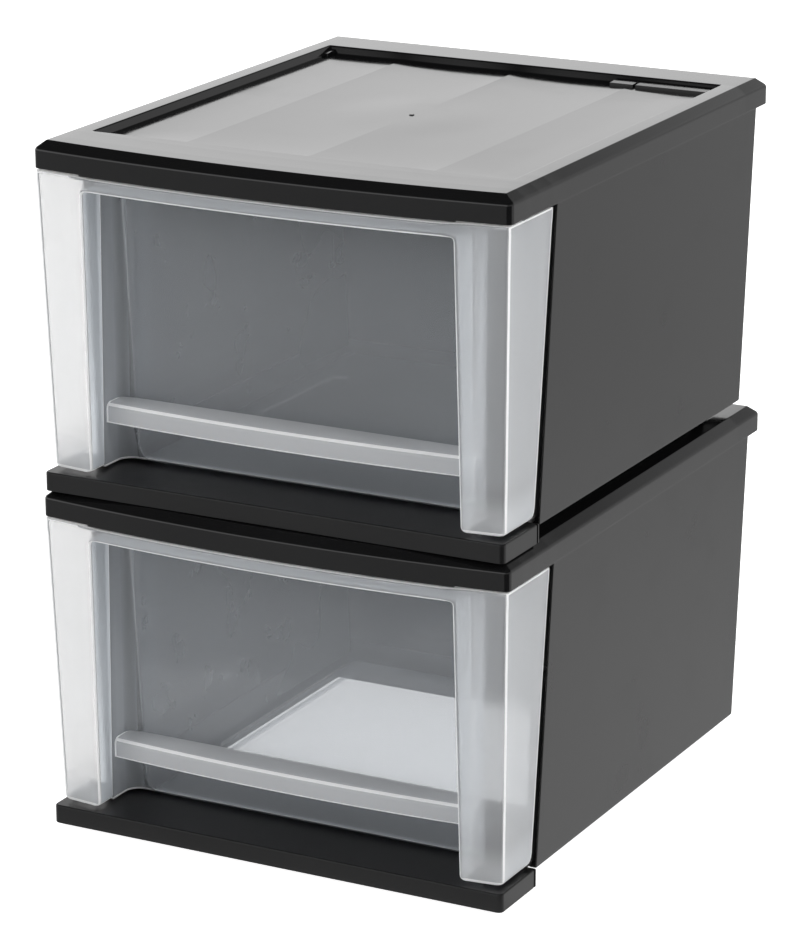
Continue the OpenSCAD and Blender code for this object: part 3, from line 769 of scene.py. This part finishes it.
def windowRow(z):
    kneeZ = pull["topZ"] - pull["thick"]
    t = max(0.0, (kneeZ - z) / (kneeZ - tub["lowZ"]))
    half, y = tub["windowHalf"], tub["windowY"] + tub["lean"] * t
    r = tub["corner"] + (tub["lowCorner"] - tub["corner"]) * t
    path = [(-half, front["joinY"]), (-half, (front["joinY"] + y - r) / 2)]
    path += arcPoints(r - half, y - r, r, math.pi, math.pi / 2, cornerSteps)
    path += [(x, y) for x in spread(r - half, half - r, 14)[1:-1]]
    path += arcPoints(half - r, y - r, r, math.pi / 2, 0, cornerSteps)
    path += [(half, (front["joinY"] + y - r) / 2), (half, front["joinY"])]
    return [(x, yy, z) for x, yy in path]


def makeTub(tier):
    pieces = []
    window = Shell(tier + "_clear_window", originOf(tier))
    kneeZ = pull["topZ"] - pull["thick"]
    zs = spread(tub["topZ"], kneeZ, 8) + spread(kneeZ, tub["lowZ"] + tub["rimLine"], 5)[1:] + [tub["lowZ"]]
    # the window's side columns get the hazier copy: painted light
    lastColumn, reveal = len(windowRow(0)) - 2, tub["revealColumns"]
    # the window's lowest row gets the near-white copy: a painted highlight line along its bottom rim
    window.loft([windowRow(z) for z in zs], False,
                edge=lambda r, i: 2 if r == len(zs) - 2 else min(i, lastColumn - i) < reveal)
    pieces.append(window.finish([clear, clearRevealLit, clearHighlight], tub["thick"], 1, 0))

    handle = Shell(tier + "_pull_lip", originOf(tier))
    half, backY = tub["windowHalf"] - overlap, tub["windowY"]
    sweep = (half ** 2 + pull["bow"] ** 2) / (2 * pull["bow"])
    rows = []
    ends = [half, half - tub["rimLine"]]
    for x in [-end for end in ends] + spread(2 - half, half - 2, 31) + ends[::-1]:
        y = backY - pull["out"] - pull["bow"] + sweep - math.sqrt(sweep ** 2 - x ** 2)
        inward = max(0.0, abs(x) - (half - tub["corner"]))
        wallY = backY - (tub["corner"] - math.sqrt(max(tub["corner"] ** 2 - inward ** 2, 0)))
        lowZ = pull["topZ"] - pull["height"]
        path = [(wallY, pull["topZ"]), (y, pull["topZ"], pull["round"])]
        path += [(y, lowZ + pull["lowLine"]), (y, lowZ)]
        rows.append([(x, yy, z) for yy, z in roundPath(path, False, 6)])
    # the lip's end rows and its rounded front's columns get the near-white copy: painted highlight lines
    handle.loft(rows, False, edge=lambda r, i: r in (0, len(rows) - 2) or i in pull["highlightColumns"])
    # the rest of the lip gets the paler, hazier copy: painted light
    pieces.append(handle.finish([clearLipLit, clearHighlight], pull["thick"]))

    body = Shell(tier + "_tub_body", originOf(tier))
    rounding = tub["floorRound"]
    floorZ, mouth = tub["floorZ"], tub["windowY"] + tub["thick"]
    bend = spread(0, math.pi / 2, 6)
    profile = [(rounding * (1 - math.sin(a)), floorZ + rounding * (1 - math.cos(a))) for a in bend]
    profile += [(0, z) for z in spread(floorZ + tub["wallStart"], tub["wallTopZ"], 5)]
    rings = []
    for inset, z in profile:
        t = (z - floorZ) / (tub["wallTopZ"] - floorZ)
        half = tub["lowHalf"] + (tub["topHalf"] - tub["lowHalf"]) * t - inset
        back = tub["lowBack"] + (tub["topBack"] - tub["lowBack"]) * t - inset
        corner = max(tub["backCorner"] - inset, 1)
        path = [(-half, mouth), (-half, back, corner), (half, back, corner), (half, mouth)]
        rings.append([(x, y, z) for x, y in roundPath(path, False, 6)])
    body.loft(rings, False, True)
    pieces.append(body.finish([clear], tub["thick"]))

    runners = Shell(tier + "_runners", originOf(tier))
    wide, end = tub["runnerHalf"], tub["runnerEnd"]
    for side in (-1, 1):
        x = side * tub["runnerX"]
        low = (x - wide, tub["windowY"] + end, tub["runnerLow"])
        roundedBlock(runners, low, (x + wide, tub["lowBack"] - end, floorZ + 0.1), 0.4)
    pieces.append(runners.finish([clear]))
    for piece in pieces:
        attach(piece, tier + "_drawer")
        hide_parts(tier + "_drawer_tub")


for tier in tiers:
    makeCover(tier)
    makeWalls(tier)
    makeBase(tier)
    makeFront(tier)
    makeTub(tier)
    print(tier, "box built")


studio = {"tableSize": 6.0, "tableWhite": 0.82, "tableGlow": 0.95, "tableLift": 0.5, "through": 1.0,
          "mirrorFront": 0.42, "mirrorCorner": 0.03, "mirrorNear": 0.78, "mirrorFar": 0.64,
          "ambientSide": 0.75, "ambientTop": 0.2, "horizon": 1.45, "overhead": 0.05, "rightSide": 0.4,
          "cornerX": (0.15, 0.2), "backY": (0.1, 0.9), "seamY": (-0.21, -0.13),
          "glowFade": (0.24, 0.56), "rightFade": (0.1, 0.4), "ambientFade": (0.1, 0.7)}


def rayKinds(sheet):
    # camera rays, those that went through plastic, and mirrored ones
    rays = sheet.node("ShaderNodeLightPath")
    glossy = Wire(sheet, rays.outputs["Is Glossy Ray"])
    through = glossy * Wire(sheet, rays.outputs["Is Transmission Ray"])
    mirrored = glossy * Wire(sheet, rays.outputs["Is Reflection Ray"])
    return Wire(sheet, rays.outputs["Is Camera Ray"]), through, mirrored


def makeTable():
    mesh = bpy.data.meshes.new("table")
    size = studio["tableSize"]
    corners = [(-size, -size, 0), (size, -size, 0), (size, size, 0), (-size, size, 0)]
    mesh.from_pydata(corners, [], [(0, 1, 2, 3)])
    table = bpy.data.objects.new("table", mesh)
    bpy.context.scene.collection.objects.link(table)
    sheet = Sheet(bpy.data.materials.new("white table"))
    seen, through, mirrored = rayKinds(sheet)
    matte = sheet.node("ShaderNodeBsdfDiffuse", None, {"Color": (studio["tableWhite"],) * 3 + (1,)})
    bounced = (1 - seen - through) * studio["tableLift"]
    glow = sheet.node("ShaderNodeEmission", None, {
        "Strength": seen * studio["tableGlow"] + through * studio["through"] + bounced})
    lit = sheet.node("ShaderNodeAddShader", None, {0: matte.outputs[0], 1: glow.outputs[0]})
    x, y = sheet.place("X"), sheet.place("Y")
    inFront = sheet.ramp(x, *studio["cornerX"], studio["mirrorFront"], studio["mirrorCorner"])
    behind = sheet.ramp(y, *studio["backY"], studio["mirrorNear"], studio["mirrorFar"])
    share = sheet.ramp(y, *studio["seamY"])
    mirror = sheet.node("ShaderNodeEmission", None, {"Strength": inFront + (behind - inFront) * share})
    mesh.materials.append(sheet.output(sheet.blend(mirrored, lit.outputs[0], mirror.outputs[0])))


def makeSurroundings():
    world = bpy.data.worlds.new("studio")
    bpy.context.scene.world = world
    sheet = Sheet(world)
    seen, through, mirrored = rayKinds(sheet)
    where = sheet.node("ShaderNodeTexCoord")
    split = sheet.node("ShaderNodeSeparateXYZ", None, {0: where.outputs["Generated"]})
    height = Wire(sheet, split.outputs[2])
    glow = sheet.ramp(height, *studio["glowFade"], studio["horizon"], studio["overhead"])
    glow = glow * sheet.ramp(Wire(sheet, split.outputs[0]), *studio["rightFade"], 1.0, studio["rightSide"])
    ambient = sheet.ramp(height, *studio["ambientFade"], studio["ambientSide"], studio["ambientTop"])
    others = 1 - seen - through - mirrored
    strength = seen + through * studio["through"] + mirrored * glow + others * ambient
    sky = sheet.node("ShaderNodeBackground", None, {"Color": (1, 1, 1, 1), "Strength": strength})
    sheet.output(sky.outputs[0])


lamps = [("soft box front", (-1.3, -2.0, 1.9), 1.6, 32), ("soft box right", (2.2, -0.4, 1.5), 1.4, 34),
         ("soft box back", (-0.8, 2.1, 1.6), 1.5, 18)]
lampTarget = Vector((0, 0, 0.2))


def makeLamps():
    for name, spot, size, power in lamps:
        light = bpy.data.lights.new(name, "AREA")
        light.shape = "SQUARE"
        light.size = size
        light.energy = power
        lamp = bpy.data.objects.new(name, light)
        lamp.location = spot
        lamp.rotation_euler = (lampTarget - Vector(spot)).to_track_quat("-Z", "Y").to_euler()
        lamp.visible_glossy = False
        lamp.visible_camera = False
        bpy.context.scene.collection.objects.link(lamp)


view = {"azimuth": 27.769, "elevation": 17.284, "roll": -0.105, "focalPixels": 4039.9, "distance": 1859.8,
        "aimAt": (253.34, -495.95, 363.85), "centreX": 399.05, "centreY": 479.64, "wide": 800,
        "high": 943, "sensor": 36}


def makeCamera():
    camera = bpy.data.cameras.new("camera")
    camera.sensor_width = view["sensor"]
    camera.lens = view["focalPixels"] * view["sensor"] / view["high"]
    camera.shift_x = (view["wide"] / 2 - view["centreX"]) / view["high"]
    camera.shift_y = (view["centreY"] - view["high"] / 2) / view["high"]
    camera.clip_end = 30
    eye = bpy.data.objects.new("camera", camera)
    az, el = math.radians(view["azimuth"]), math.radians(view["elevation"])
    back = Vector((math.sin(az) * math.cos(el), -math.cos(az) * math.cos(el), math.sin(el)))
    eye.location = (Vector(view["aimAt"]) + back * view["distance"]) * mm
    turn = back.to_track_quat("Z", "Y") @ Euler((0, 0, math.radians(view["roll"]))).to_quaternion()
    eye.rotation_euler = turn.to_euler()
    bpy.context.scene.collection.objects.link(eye)
    bpy.context.scene.camera = eye


makeTable()
makeSurroundings()
makeLamps()
makeCamera()
bpy.context.scene.view_settings.view_transform = "Standard"
bpy.context.scene.cycles.transparent_max_bounces = 24
print("studio ready")
